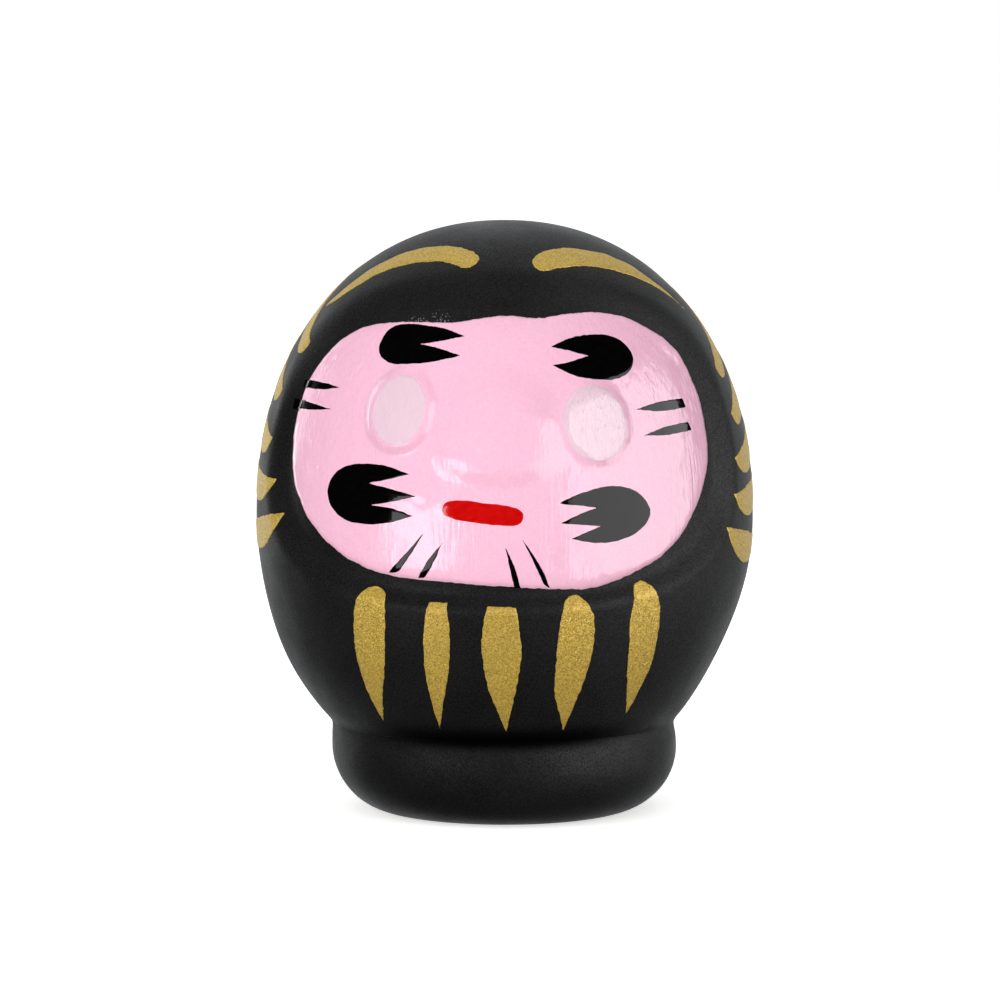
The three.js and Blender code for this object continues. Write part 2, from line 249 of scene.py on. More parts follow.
def off_skin(places, offset):
    """Points at a distance off the skin, along its normal, for places of shape (n, 2)."""
    arc, length = places[:, 0], places[:, 1]
    step = 0.05
    round_it = on_skin(arc + step, length) - on_skin(arc - step, length)
    up_it = on_skin(arc, length + step) - on_skin(arc, length - step)
    normal = np.cross(round_it, up_it)
    normal /= np.linalg.norm(normal, axis=1)[:, None]
    return on_skin(arc, length) + normal * np.asarray(offset).reshape(-1, 1)


# ---- Meshes ----


def add_piece(name, points, faces, materials, node, face_materials=None):
    """A mesh from points in millimetres, riding on the root in place of a CAD node."""
    mesh = bpy.data.meshes.new(name)
    mesh.from_pydata((np.asarray(points) * MM).tolist(), [], [[int(i) for i in face] for face in faces])
    for material in materials:
        mesh.materials.append(material)
    if face_materials is not None:
        mesh.polygons.foreach_set("material_index", face_materials)
    mesh.polygons.foreach_set("use_smooth", [True] * len(faces))
    mesh.set_sharp_from_angle(angle=math.radians(50))
    mesh.update()
    piece = bpy.data.objects.new(name, mesh)
    bpy.context.scene.collection.objects.link(piece)
    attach(piece, "root")
    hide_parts(node)
    return piece


def ring_faces(ring_count, columns, first=0):
    """Quads between rings of equal length, each ring above the one before it, facing outwards."""
    index = first + np.arange(ring_count * columns).reshape(ring_count, columns)
    here, there = index[:-1], index[1:]
    quads = np.stack([here, np.roll(here, -1, 1), np.roll(there, -1, 1), there], axis=-1)
    return quads.reshape(-1, 4).tolist()


def pole_faces(ring, pole):
    return [[a, b, pole] for a, b in zip(ring, np.roll(ring, -1))]


def closing_faces(ring_count, columns):
    """Quads from the last ring back to the first."""
    last = (ring_count - 1) * columns
    ring = np.arange(columns)
    return [[last + a, last + b, b, a] for a, b in zip(ring, np.roll(ring, -1))]


def column_angles():
    """Angles round the doll, closer together in front."""
    front = round(2 * FRONT * BODY_RADIUS / FRONT_STEP)
    back = round((2 * math.pi - 2 * FRONT) * BODY_RADIUS / BACK_STEP)
    return np.concatenate(
        [
            np.linspace(-FRONT, FRONT, front, endpoint=False),
            np.linspace(FRONT, 2 * math.pi - FRONT, back, endpoint=False),
        ]
    )


ANGLES = column_angles()
ARCS = (ANGLES + math.pi) % (2 * math.pi) - math.pi
COLUMNS = len(ANGLES)


def polyline(corners, step):
    """Points along straight runs between corners, about a step apart, without the last corner."""
    points = []
    for start, end in zip(corners[:-1], corners[1:]):
        count = max(1, round(math.dist(start, end) / step))
        points += [np.add(start, np.subtract(end, start) * i / count) for i in range(count)]
    return points


def lathe_rings(profile, rough, seed):
    """Rings for (radius, z) points of a profile, with a hand-made unevenness."""
    rings = []
    for radius, z in profile:
        ring = polar(np.full(COLUMNS, radius), ANGLES, np.full(COLUMNS, z))
        rings.append(ring + polar(waves(ring, seed, 2, 9, rough), ANGLES, 0 * ANGLES))
    return rings


def hollow_profile():
    """(radius, z) of the hollow from its top down to the shoulder over the neck."""
    reach = WAIST - WALL
    turns = np.linspace(0.06, math.pi / 2 + 0.86, 46)
    heights = [WAIST + reach * math.cos(turn) for turn in turns]
    return [(egg_radius(np.array(z), WALL), z) for z in heights]


def neck_profile(shoulder, skin_foot):
    """(radius, z) from the hollow's shoulder down through the neck and up its outside to the skin's foot."""
    neck, low = CORE["neck_inner"], CORE["neck_foot"]
    shoulder_z = shoulder[1]
    return [
        shoulder,
        (neck + BEVEL, shoulder_z - BEVEL),
        (neck, shoulder_z - 0.8),
        (neck, low),
        (CORE["neck"], low),
        (CORE["neck"], CREASE),
        skin_foot,
    ]


def shell_piece(outside, inside):
    """The egg: its skin up to the pole, then the hollow back down and out through the neck."""
    lengths = np.linspace(0, PROFILE_LENGTH[-1], round(PROFILE_LENGTH[-1] / SKIN_STEP))[:-1]
    outer = [on_skin(ARCS * BODY_RADIUS, np.full(COLUMNS, length)) for length in lengths]
    hollow = hollow_profile()
    skin_foot = (np.linalg.norm(outer[0][0][:2]) - 0.4, CREASE)
    neck = polyline(neck_profile(hollow[-1], skin_foot), HOLLOW_STEP)
    inner = lathe_rings(hollow[:-1], 0.12, 21) + lathe_rings(neck, 0.02, 22)
    rings = outer + inner
    points = np.concatenate(rings + [[[0, 0, HEIGHT]], [[0, 0, HEIGHT - WALL]]])
    top_pole, hollow_pole = len(points) - 2, len(points) - 1
    ring = np.arange(COLUMNS)
    count = len(outer)
    skin = ring_faces(count, COLUMNS) + pole_faces(ring + (count - 1) * COLUMNS, top_pole)
    lining = [face[::-1] for face in pole_faces(ring + count * COLUMNS, hollow_pole)]
    lining += ring_faces(len(inner), COLUMNS, count * COLUMNS)
    lining += closing_faces(len(rings), COLUMNS)
    kinds = [0] * len(skin) + [1] * len(lining)
    return add_piece("shell", points, skin + lining, [outside, inside], "body_shell", kinds)


def base_wall():
    """Rings of the weight's outside, from the table up to the crease, where they share the skin's lumps."""
    turns = np.linspace(0, math.pi / 2, 22)
    roll_z = [FOOT["round_height"] * (1 - math.cos(turn)) for turn in turns]
    wall_z = np.linspace(FOOT["round_height"], CREASE - SEAM, 9)[1:]
    rings = []
    for z in roll_z + list(wall_z):
        height = np.full(COLUMNS, z)
        plain = base_radius(height) if z < FOOT["round_height"] else wall_radius(height)
        blend = smoothstep(height, FOOT["round_height"] - 1.7, FOOT["round_height"])
        radius = base_radius(height) * (1 - blend) + wall_radius(height) * blend
        spot = polar(plain, ANGLES, height)
        uneven = waves(spot, 31, 7, 20, 0.06) * smoothstep(height, 0, 2)
        uneven = uneven * smoothstep(CREASE - height, 0, 1.5)
        joint = skin_radius(ARCS * BODY_RADIUS, height) - wall_radius(height)
        shared = joint * smoothstep(height, CREASE - 2, CREASE)
        rings.append(polar(radius + uneven + shared, ANGLES, height))
    return rings


def base_piece(outside, inside):
    """The weight, closed round its profile: wall, foot, skewer hole, floor and recess."""
    foot_radius = BASE_RADIUS - FOOT["round_width"]
    outer = base_wall()
    recess, skewer, floor = CORE["recess"], CORE["skewer"], CORE["floor"]
    top = CREASE - SEAM
    into_recess = [(recess + 2.6, top), (recess + 0.2, top), (recess, top - BEVEL), (recess, floor)]
    into_hole = [(skewer + BEVEL, floor), (skewer, floor - BEVEL)]
    out_below = [(skewer, 0.5), (skewer + 0.5, 0), (foot_radius - 0.2, 0)]
    inner = []
    for radius, z in polyline(into_recess + into_hole + out_below, BASE_STEP):
        spot = polar(np.full(COLUMNS, radius), ANGLES, np.full(COLUMNS, z))
        uneven = waves(spot, 33, 2, 7, 0.03) * smoothstep(np.full(COLUMNS, z), 0, 1)
        inner.append(spot + polar(uneven, ANGLES, 0 * ANGLES))
    rings = outer + inner
    faces = ring_faces(len(rings), COLUMNS) + closing_faces(len(rings), COLUMNS)
    bare_from = (len(outer) + 2) * COLUMNS
    bare_to = (len(outer) + len(polyline(into_recess + into_hole, BASE_STEP))) * COLUMNS
    kinds = [int(bare_from <= min(face) < bare_to) for face in faces]
    points = np.concatenate(rings)
    return add_piece("weight", points, faces, [outside, inside], "base_weight", kinds)


def glue_piece(material):
    """An uneven bead of glue in the corner between the neck and the recess."""
    columns, sides = 160, 14
    low, high = box_mm("glue_bead")
    outer = high[0]
    angles = np.linspace(0, 2 * math.pi, columns, endpoint=False)
    centre = (outer - 0.55, low[2] + 0.5)
    spot = polar(np.full(columns, 30.0), angles, np.zeros(columns))
    size = 0.5 + waves(spot, 41, 10, 40, 0.08) + waves(spot, 42, 3, 8, 0.03)
    rings = []
    for i in range(sides):
        turn = 2 * math.pi * i / sides
        radius = np.minimum(centre[0] + size * math.cos(turn), outer)
        z = np.maximum(centre[1] + size * math.sin(turn), low[2])
        rings.append(polar(radius, angles, z))
    faces = ring_faces(sides, columns) + closing_faces(sides, columns)
    return add_piece("glue", np.concatenate(rings), faces, [material], "glue_bead")


# ---- Outlines of the coats of paint ----


def outer_loop(node):
    """The edge of the outward face of a film, as (arc, length) points in order."""
    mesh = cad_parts[node].data
    mesh.calc_loop_triangles()
    corners = np.round(np.array([v.co for v in mesh.vertices]) / MM, 3)
    points, same = np.unique(corners, axis=0, return_inverse=True)
    triangles = same.ravel()[np.array([t.vertices for t in mesh.loop_triangles])]
    a, b, c = (points[triangles[:, i]] for i in range(3))
    normals = np.cross(b - a, c - a)
    outward = (a + b + c) * [1, 1, 0]
    size = np.linalg.norm(normals, axis=1) * np.linalg.norm(outward, axis=1)
    facing = (normals * outward).sum(axis=1) > 0.2 * size
    pairs = [(t[i], t[(i + 1) % 3]) for t in triangles[facing].tolist() for i in range(3)]
    sides = {(start, end) for start, end in pairs if start != end}
    follow = {start: end for start, end in sides if (end, start) not in sides}
    loops = []
    while follow:
        loop = [min(follow)]
        while loop[-1] in follow:
            loop.append(follow.pop(loop[-1]))
        loops.append(loop[:-1])
    x, y, z = points[max(loops, key=len)].T
    return np.stack([np.arctan2(x, -y) * BODY_RADIUS, length_at(z)], axis=1)


def simplified(points, near=0.08, flat=0.018):
    """Drops points that are too near the next one, or on the line between their neighbours."""
    kept = [points[0]]
    for point in points[1:]:
        if math.dist(point, kept[-1]) > near:
            kept.append(point)
    if math.dist(kept[0], kept[-1]) < near:
        kept.pop()
    while len(kept) > 6:
        line = np.array(kept)
        before, after = np.roll(line, 1, 0), np.roll(line, -1, 0)
        along = after - before
        gap = line - before
        off = np.abs(along[:, 0] * gap[:, 1] - along[:, 1] * gap[:, 0]) / np.linalg.norm(along, axis=1)
        flattest = int(np.argmin(off))
        if off[flattest] > flat:
            break
        kept.pop(flattest)
    return np.array(kept)


def turning(points):
    """How much the outline turns at each point, in degrees."""
    before, after = points - np.roll(points, 1, 0), np.roll(points, -1, 0) - points
    cross = before[:, 0] * after[:, 1] - before[:, 1] * after[:, 0]
    return np.degrees(np.abs(np.arctan2(cross, (before * after).sum(axis=1))))


def curve_through(knots, spacing):
    """A spline from the second knot to the last but one, at even spacing, without its last point."""
    gaps = np.sqrt(np.linalg.norm(np.diff(knots, axis=0), axis=1))[:, None] + 1e-9
    slopes = np.diff(knots, axis=0) / gaps
    across = (knots[2:] - knots[:-2]) / (gaps[1:] + gaps[:-1])
    t = np.linspace(0, 1, 12, endpoint=False)[:, None]
    curve = []
    for i in range(len(knots) - 3):
        gap = gaps[i + 1]
        leave = (slopes[i] - across[i] + slopes[i + 1]) * gap
        arrive = (slopes[i + 1] - across[i + 1] + slopes[i + 2]) * gap
        start, end = knots[i + 1], knots[i + 2]
        curve.append(
            start * (2 * t**3 - 3 * t**2 + 1)
            + leave * (t**3 - 2 * t**2 + t)
            + end * (3 * t**2 - 2 * t**3)
            + arrive * (t**3 - t**2)
        )
    fine = np.concatenate(curve + [knots[-2:-1]])
    walk = np.concatenate([[0], np.cumsum(np.linalg.norm(np.diff(fine, axis=0), axis=1))])
    count = max(2, round(walk[-1] / spacing))
    stops = np.linspace(0, walk[-1], count, endpoint=False)
    return np.stack([np.interp(stops, walk, fine[:, k]) for k in range(2)], axis=1)


def open_curve(points, spacing):
    """A smooth curve through the points, whose ends run straight on."""
    ends = [2 * points[0] - points[1], 2 * points[-1] - points[-2]]
    return curve_through(np.concatenate([[ends[0]], points, [ends[1]]]), spacing)


def eased(points, spacing, reach=0.5):
    """Evens out a stretch of points over a distance of reach, without moving its two ends."""
    points = points.copy()
    for _ in range(round(2 * (reach / spacing) ** 2)):
        points[1:-1] = (points[:-2] + 2 * points[1:-1] + points[2:]) / 4
    return points


def smooth_outline(points, spacing, sharp):
    """The outline with its corners kept and the stretches between them turned into curves."""
    corners = np.flatnonzero(turning(points) > sharp)
    if len(corners) == 0:
        loop = curve_through(np.concatenate([points[-1:], points, points[:2]]), spacing)
        margin = len(loop) // 2
        wide = eased(np.concatenate([loop[-margin:], loop, loop[:margin]]), spacing)
        return wide[margin : margin + len(loop)]
    rolled = np.roll(points, -corners[0], axis=0)
    stops = list(corners - corners[0]) + [len(points)]
    closed = np.concatenate([rolled, rolled[:1]])
    stretches = []
    for a, b in zip(stops[:-1], stops[1:]):
        curve = open_curve(closed[a : b + 1], spacing)
        stretches.append(eased(np.concatenate([curve, closed[b : b + 1]]), spacing)[:-1])
    return np.concatenate(stretches)


def edge_normals(loop):
    """Unit vectors that point out of the loop, at each of its points."""
    along = np.roll(loop, -1, 0) - np.roll(loop, 1, 0)
    along /= np.linalg.norm(along, axis=1)[:, None]
    return np.stack([along[:, 1], -along[:, 0]], axis=1)


def distance_to_loop(points, loop):
    """Distance from each point to a closed loop of points, in two or three dimensions."""
    along = np.roll(loop, -1, 0) - loop
    square = (along * along).sum(axis=1) + 1e-12
    found = []
    for chunk in np.array_split(points, max(1, len(points) * len(loop) // 2_000_000)):
        away = chunk[:, None, :] - loop[None]
        share = np.clip((away * along).sum(axis=2) / square, 0, 1)
        found.append(np.linalg.norm(away - share[..., None] * along, axis=2).min(axis=1))
    return np.concatenate(found)


def inside_loop(points, loop):
    """Whether each point is inside, by how often a ray to the right crosses the loop."""
    x, y = points[:, :1], points[:, 1:]
    x1, y1 = loop.T
    x2, y2 = np.roll(loop, -1, 0).T
    crosses = ((y1 > y) != (y2 > y)) & (x < (x2 - x1) * (y - y1) / (y2 - y1 + 1e-15) + x1)
    return crosses.sum(axis=1) % 2 == 1


# ---- Coats of paint ----


def filling(loop, step, insets):
    """Places inside a loop: rows that follow its edge, then an even grid."""
    inward = -edge_normals(loop)
    rows = []
    for inset in insets:
        row = loop + inward * inset
        rows.append(row[(distance_to_loop(row, loop) > inset * 0.93) & inside_loop(row, loop)])
    low, high = loop.min(axis=0), loop.max(axis=0)
    across = np.arange(low[0], high[0], step)
    up = np.arange(low[1], high[1], step * math.sqrt(3) / 2)
    grid = np.stack(np.meshgrid(across, up), axis=-1)
    grid[1::2, :, 0] += step / 2
    grid = grid.reshape(-1, 2)
    grid = grid[inside_loop(grid, loop)]
    clear = (insets[-1] if insets else 0) + step * 0.6
    rows.append(grid[distance_to_loop(grid, loop) > clear])
    return np.concatenate(rows)


def triangulated(loop, inner):
    """Triangles over a loop and the places in it. No side inside the coat has both its ends on the edge."""
    count = len(loop)
    edges = [(i, (i + 1) % count) for i in range(count)]
    for _ in range(6):
        spots = [Vector(p) for p in np.concatenate([loop, inner])]
        made, _, faces, _, _, _ = delaunay_2d_cdt(spots, edges, [], 1, 1e-5, True)
        places = np.array([tuple(p) for p in made])
        corners = np.array(faces)
        corners = corners[inside_loop(places[corners].mean(axis=1), loop)]
        sides = np.sort(np.stack([corners, np.roll(corners, -1, 1)], axis=-1).reshape(-1, 2), axis=1)
        sides, uses = np.unique(sides, axis=0, return_counts=True)
        on_edge = np.zeros(len(places), bool)
        on_edge[sides[uses == 1]] = True
        chords = sides[(uses > 1) & on_edge[sides].all(axis=1)]
        if len(chords) == 0:
            break
        inner = np.concatenate([inner, places[chords].mean(axis=1)])
    return places, corners.tolist(), on_edge


def coat_height(distance, thickness, edge, bead):
    """Thickness of a coat at a distance in from its edge: rounded at the edge, with a bead just inside it."""
    rise = np.clip(distance / edge, 0, 1)
    body = thickness * np.sqrt(1 - (1 - rise) ** 2)
    return body + bead * bell((distance - 1.3 * edge) / edge) * rise


def drawn_to_oval(loop, size, power, tilt, shift, share=0.65):
    """The loop drawn towards a superellipse of its own size, tilted by degrees, then scaled and shifted."""
    a = math.radians(tilt)
    axes = np.array([[math.cos(a), -math.sin(a)], [math.sin(a), math.cos(a)]])
    middle = (loop.min(axis=0) + loop.max(axis=0)) / 2
    away = (loop - middle) @ axes
    out = (np.abs(away / np.abs(away).max(axis=0)) ** power).sum(axis=1) ** (1 / power)
    drawn = away * (1 - share) + away / out[:, None] * share
    return middle + (drawn * size) @ axes.T + shift


def corner_turn(node):
    """The turn in degrees that makes a corner: none on an oval, and only the tip on a forehead sweep."""
    if node in OVALS:
        return 180
    return 100 if node.startswith("gold_forehead") else 65


def fitted(node, loop):
    """A film's outline, changed so that a thin coat looks the same from the front."""
    if node in OVALS:
        loop = drawn_to_oval(loop, **OVALS[node])
    if node in LONGER_TO_LEFT:
        tip = loop.max(axis=0)
        loop = tip + (loop - tip) * (LONGER_TO_LEFT[node], 1)
    if node in LONGER_TAIL:
        head = loop[np.argmin(np.abs(loop[:, 0]))]
        loop = head + (loop - head) * LONGER_TAIL[node]
    if node.startswith(("gold_side", "gold_forehead")):
        turn = np.clip(loop[:, 0] / BODY_RADIUS, -STEEPEST_TURN, STEEPEST_TURN)
        raised = np.full(len(loop), RAISED.get(node, 0))
        loop = loop + np.stack([FILM_STANDS_OFF * np.tan(turn), raised], axis=1)
    return loop


def outline_of(node, spacing, wobble, seed):
    """The outline of a node's coat, with the small waver of a hand-drawn edge."""
    loop = smooth_outline(simplified(outer_loop(node)), spacing, corner_turn(node))
    loop = fitted(node, loop)
    shift = waves(loop, seed, 0.5, 1.6, wobble) + waves(loop, seed + 1, 2, 6, wobble)
    spread = SPREAD if node == "face_enamel" else (0, 0)
    return loop + edge_normals(loop) * (shift[:, None] + spread)


ENAMEL_LOOP = outline_of("face_enamel", WIDE_MESH["spacing"], 0.03, 50)
ENAMEL_EDGE = off_skin(ENAMEL_LOOP, 0)


def enamel_height(places):
    """Height of the face's enamel off the skin, and zero outside it."""
    distance = distance_to_loop(off_skin(places, 0), ENAMEL_EDGE)
    height = coat_height(distance, **ENAMEL)
    flow = waves(places, 61, 1.5, 5, 0.008) * np.clip(distance, 0, 1)
    return np.where(inside_loop(places, ENAMEL_LOOP), height + flow, 0)


def paint_piece(node, material, coat, mesh, wobble, seed, on_enamel=False):
    """A coat of paint with the outline of a CAD film: a top and an underside that meet at its edge."""
    loop = ENAMEL_LOOP if node == "face_enamel" else outline_of(node, mesh["spacing"], wobble, seed)
    insets = [coat["edge"] * share for share in (0.2, 0.55, 1.0)]
    places, faces, on_edge = triangulated(loop, filling(loop, mesh["step"], insets))
    level = enamel_height(places) if on_enamel else np.zeros(len(places))
    distance = distance_to_loop(off_skin(places, 0), off_skin(loop, 0))
    height = np.where(on_edge, 0, coat_height(distance, **coat))
    flow = waves(places, seed + 2, 0.8, 3, coat["thickness"] * 0.05)
    height += flow * np.clip(distance / coat["edge"], 0, 1)
    top = off_skin(places, level - SUNK * on_edge + height)
    under = off_skin(places[~on_edge], level[~on_edge] - SUNK)
    twin = np.arange(len(places))
    twin[~on_edge] = len(places) + np.arange((~on_edge).sum())
    bottom = [[twin[i] for i in face[::-1]] for face in faces]
    points = np.concatenate([top, under])
    return add_piece(f"{node}_paint", points, faces + bottom, [material], node)


# ---- Materials ----


# Colours as (darker, lighter) pairs, or single ones for dust, pits and painted streaks of shade.
PINK_PAINT = (0.955, 0.52, 0.675, 1), (0.985, 0.562, 0.717, 1)
PINK_DUST = (0.35, 0.16, 0.2, 1)
EYE_PAINT = (0.83, 0.58, 0.67, 1), (0.86, 0.63, 0.72, 1)
EYE_STREAK_SHADE = (0.42, 0.34, 0.38, 1)
BLACK_STROKES = (0.0005, 0.0005, 0.0005, 1), (0.0015, 0.0015, 0.0016, 1)
RED_STROKES = (0.56, 0.001, 0.001, 1), (0.62, 0.004, 0.003, 1)
GOLD_FLAKES = (0.405, 0.27, 0.039, 1), (0.70, 0.475, 0.088, 1)
GOLD_PITS = (0.16, 0.11, 0.03, 1)
PULP = (0.22, 0.18, 0.13, 1), (0.42, 0.36, 0.28, 1)
CLAY = (0.26, 0.19, 0.13, 1), (0.40, 0.31, 0.23, 1)
GLUE = (0.42, 0.22, 0.05, 1), (0.75, 0.55, 0.25, 1)
SHELL_BLACK = 0.0055
# The weight's black is a little darker than the shell's: painted shade on the weight.
SHADED_CLAY_BLACK = 0.005


class Nodes:
    """Short ways to add nodes to a tree."""

    def __init__(self, tree):
        self.tree = tree

    def put(self, socket, value):
        if isinstance(value, bpy.types.NodeSocket):
            self.tree.links.new(value, socket)
        else:
            socket.default_value = value

    def node(self, kind, output=0, **settings):
        """Adds a node and returns an output. An input is given by its name, or by _ and its number."""
        made = self.tree.nodes.new(f"ShaderNode{kind}")
        inputs = {}
        for key, value in settings.items():
            if key in made.bl_rna.properties:
                setattr(made, key, value)
            else:
                inputs[key] = value
        for key, value in inputs.items():
            name = int(key[1:]) if key[0] == "_" else key.replace("_", " ")
            self.put(made.inputs[name], value)
        return made.outputs[output]


class Paint(Nodes):
    """A node material whose textures are laid out in millimetres of the doll."""

    def __init__(self, name):
        self.material = bpy.data.materials.new(name)
        self.material.use_nodes = True
        super().__init__(self.material.node_tree)
        self.shader = self.tree.nodes["Principled BSDF"]
        coordinates = self.tree.nodes.new("ShaderNodeTexCoord").outputs["Object"]
        self.place = self.node("VectorMath", operation="SCALE", Vector=coordinates, Scale=1 / MM)
        self.relief = None

    def stretched(self, scale, turn=(0, 0, 0)):
        """Places turned and scaled, so that a texture runs in long streaks."""
        mapped = self.tree.nodes.new("ShaderNodeMapping")
        mapped.vector_type = "TEXTURE"
        self.put(mapped.inputs["Vector"], self.place)
        mapped.inputs["Rotation"].default_value = [math.radians(t) for t in turn]
        mapped.inputs["Scale"].default_value = [1 / s for s in scale]
        return mapped.outputs[0]

    def noise(self, size, detail=2.0, rough=0.5, where=None):
        """A noise from 0 to 1, whose lumps are about size millimetres."""
        where = where or self.place
        return self.node("TexNoise", Vector=where, Scale=1 / size, Detail=detail, Roughness=rough)

    def cells(self, size, output=0, where=None):
        where = where or self.place
        return self.node("TexVoronoi", output=output, Vector=where, Scale=1 / size)

    def remap(self, value, low, high, new_low=0.0, new_high=1.0):
        return self.node(
            "MapRange", interpolation_type="SMOOTHSTEP", Value=value, _1=low, _2=high, _3=new_low, _4=new_high
        )

    def times(self, a, b):
        return self.node("Math", operation="MULTIPLY", _0=a, _1=b)

    def plus(self, a, b):
        return self.node("Math", operation="ADD", _0=a, _1=b)

    def blend(self, share, a, b):
        return self.node("Mix", output=2, data_type="RGBA", _0=share, _6=a, _7=b)

    def near(self, spot, radius, softness=0.5):
        """1 within a radius of a spot, falling to 0 outside it."""
        away = self.node("VectorMath", output=1, operation="DISTANCE", _0=self.place, _1=tuple(spot))
        return self.remap(away, radius * (1 - softness), radius * (1 + softness), 1.0, 0.0)

    def bump(self, height, depth):
        """Adds relief, whose full depth is in millimetres."""
        settings = {"Height": height, "Distance": depth * MM, "Strength": 1.0}
        if self.relief is not None:
            settings["Normal"] = self.relief
        self.relief = self.node("Bump", **settings)

    def finish(self, **inputs):
        for key, value in inputs.items():
            self.put(self.shader.inputs[key.replace("_", " ")], value)
        if self.relief is not None:
            self.put(self.shader.inputs["Normal"], self.relief)
        return self.material


def gray(level, tint=(1, 1, 1)):
    return tuple(level * t for t in tint) + (1.0,)


def spot_on_skin(angle, z):
    """The point of the skin at an angle from the front, in degrees, and a height."""
    return on_skin(np.array([math.radians(angle) * BODY_RADIUS]), length_at(np.array([z])))[0]


def crease_shade_mask(paint):
    """Painted shade: 1 in the front half of the crease between egg and weight, fading out above and below it.
    """
    depth = paint.node("SeparateXYZ", output=1, Vector=paint.place)
    height = paint.node("SeparateXYZ", output=2, Vector=paint.place)
    up = paint.remap(height, CREASE - CREASE_SHADE["below"], CREASE, 0.0, 1.0)
    down = paint.remap(height, CREASE, CREASE + CREASE_SHADE["above"], 1.0, 0.0)
    in_front = paint.remap(depth, -BASE_RADIUS, -BASE_RADIUS * 0.6, 1.0, 0.0)
    return paint.times(paint.times(up, down), in_front)


def brush_streaks(paint):
    """Faint upright hairs, with slanted ones on the two shoulders."""

    def hairs(scale, turn=(0, 0, 0)):
        return paint.noise(1.0, detail=3, rough=0.6, where=paint.stretched(scale, turn))

    upright = hairs((5.0, 5.0, 0.5))
    leaning = paint.times(hairs((4.5, 4.5, 0.35), (0, 38, 0)), paint.near(spot_on_skin(-33, 53), 7.5))
    leaning_back = paint.times(hairs((4.5, 4.5, 0.35), (0, -38, 0)), paint.near(spot_on_skin(30, 54), 7.5))
    return paint.plus(paint.times(upright, 0.35), paint.plus(leaning, leaning_back))


def matte_black(name, level):
    """Thin matte paint brushed over a white ground: fine tooth, brush hairs, dust and small scuffs, with
    painted shade in the front of the crease.
    """
    paint = Paint(name)
    tooth = paint.noise(0.16, detail=3, rough=0.7)
    cloud = paint.noise(5.0, detail=3)
    streaks = brush_streaks(paint)
    paint.bump(paint.noise(1.6, detail=3), 0.03)
    paint.bump(streaks, 0.03)
    paint.bump(tooth, 0.02)
    painted_crease_shade = crease_shade_mask(paint)
    specks = paint.remap(paint.cells(0.9), 0.035, 0.055, 1.0, 0.0)
    turned = paint.stretched((1, 1, 1), (20, 40, 10))
    rare = paint.remap(paint.noise(2.1, detail=1, where=turned), 0.60, 0.66)
    dust = paint.times(specks, rare)
    crumb_spots = [paint.near(spot_on_skin(-28, 50.2), 1.1), paint.near(spot_on_skin(-21, 50.5), 1.1)]
    crumbs = paint.times(paint.remap(paint.cells(0.24), 0.18, 0.3, 1.0, 0.0), paint.plus(*crumb_spots))
    base = paint.blend(paint.remap(cloud, 0.3, 0.7), gray(level * 0.85), gray(level * 1.15, (1.0, 1.0, 1.04)))
    base = paint.blend(paint.remap(tooth, 0.35, 0.65, 0.0, 0.7), base, gray(level * 2.0, (0.96, 1.0, 1.0)))
    brushed = paint.times(paint.remap(streaks, 0.35, 0.75), 0.5)
    base = paint.blend(brushed, base, gray(level * 2.2, (1, 1, 1.05)))
    base = paint.blend(paint.times(dust, 0.5), base, gray(0.16, (1, 0.9, 0.75)))
    base = paint.blend(paint.times(crumbs, 0.8), base, gray(0.4))
    # Painted shade: the front of the crease goes nearly black and loses its shine and sheen.
    base = paint.blend(painted_crease_shade, base, gray(0.0005))
    crease_shade_dimming = paint.remap(painted_crease_shade, 0.0, 1.0, 1.0, 0.1)
    return paint.finish(
        Base_Color=base,
        Roughness=paint.remap(cloud, 0.3, 0.7, 0.5, 0.6),
        Specular_IOR_Level=paint.times(paint.remap(tooth, 0.36, 0.64, 0.08, 0.22), crease_shade_dimming),
        Sheen_Weight=paint.remap(painted_crease_shade, 0.0, 1.0, 0.1, 0.0),
        Sheen_Roughness=0.35,
    )


def pink_enamel():
    """Thick brushed enamel: upright brush ridges that break up its reflections, dust and a clear gloss."""
    paint = Paint("pink_enamel")
    ridges = paint.noise(1.0, detail=2, rough=0.5, where=paint.stretched((2.6, 2.6, 0.16)))
    hairs = paint.noise(1.0, detail=3, rough=0.6, where=paint.stretched((7.0, 7.0, 0.35)))
    patches = paint.noise(2.2, detail=2)
    turned = paint.stretched((1, 1, 1), (10, 20, 70))
    streaked = paint.remap(paint.noise(3.5, detail=1, where=turned), 0.45, 0.6)
    strength = paint.remap(streaked, 0.0, 1.0, 0.35, 1.0)
    paint.bump(paint.times(paint.remap(ridges, 0.35, 0.65), strength), 0.022)
    beads = paint.remap(paint.cells(1.0, where=paint.stretched((1.5, 1.5, 0.45))), 0.06, 0.14, 1.0, 0.0)
    paint.bump(paint.times(beads, paint.remap(paint.noise(2.4, detail=1), 0.5, 0.58)), 0.03)
    paint.bump(paint.times(paint.remap(hairs, 0.35, 0.65), paint.remap(patches, 0.45, 0.6)), 0.008)
    paint.bump(patches, 0.016)
    specks = paint.remap(paint.cells(1.3), 0.03, 0.05, 1.0, 0.0)
    rare = paint.remap(paint.noise(3.1, detail=1), 0.55, 0.62)
    thin = paint.remap(paint.noise(0.3, detail=3, rough=0.7), 0.35, 0.65)
    base = paint.blend(thin, *PINK_PAINT)
    base = paint.blend(paint.times(paint.times(specks, rare), 0.35), base, PINK_DUST)
    return paint.finish(Base_Color=base, Roughness=0.06, Specular_IOR_Level=0.5)


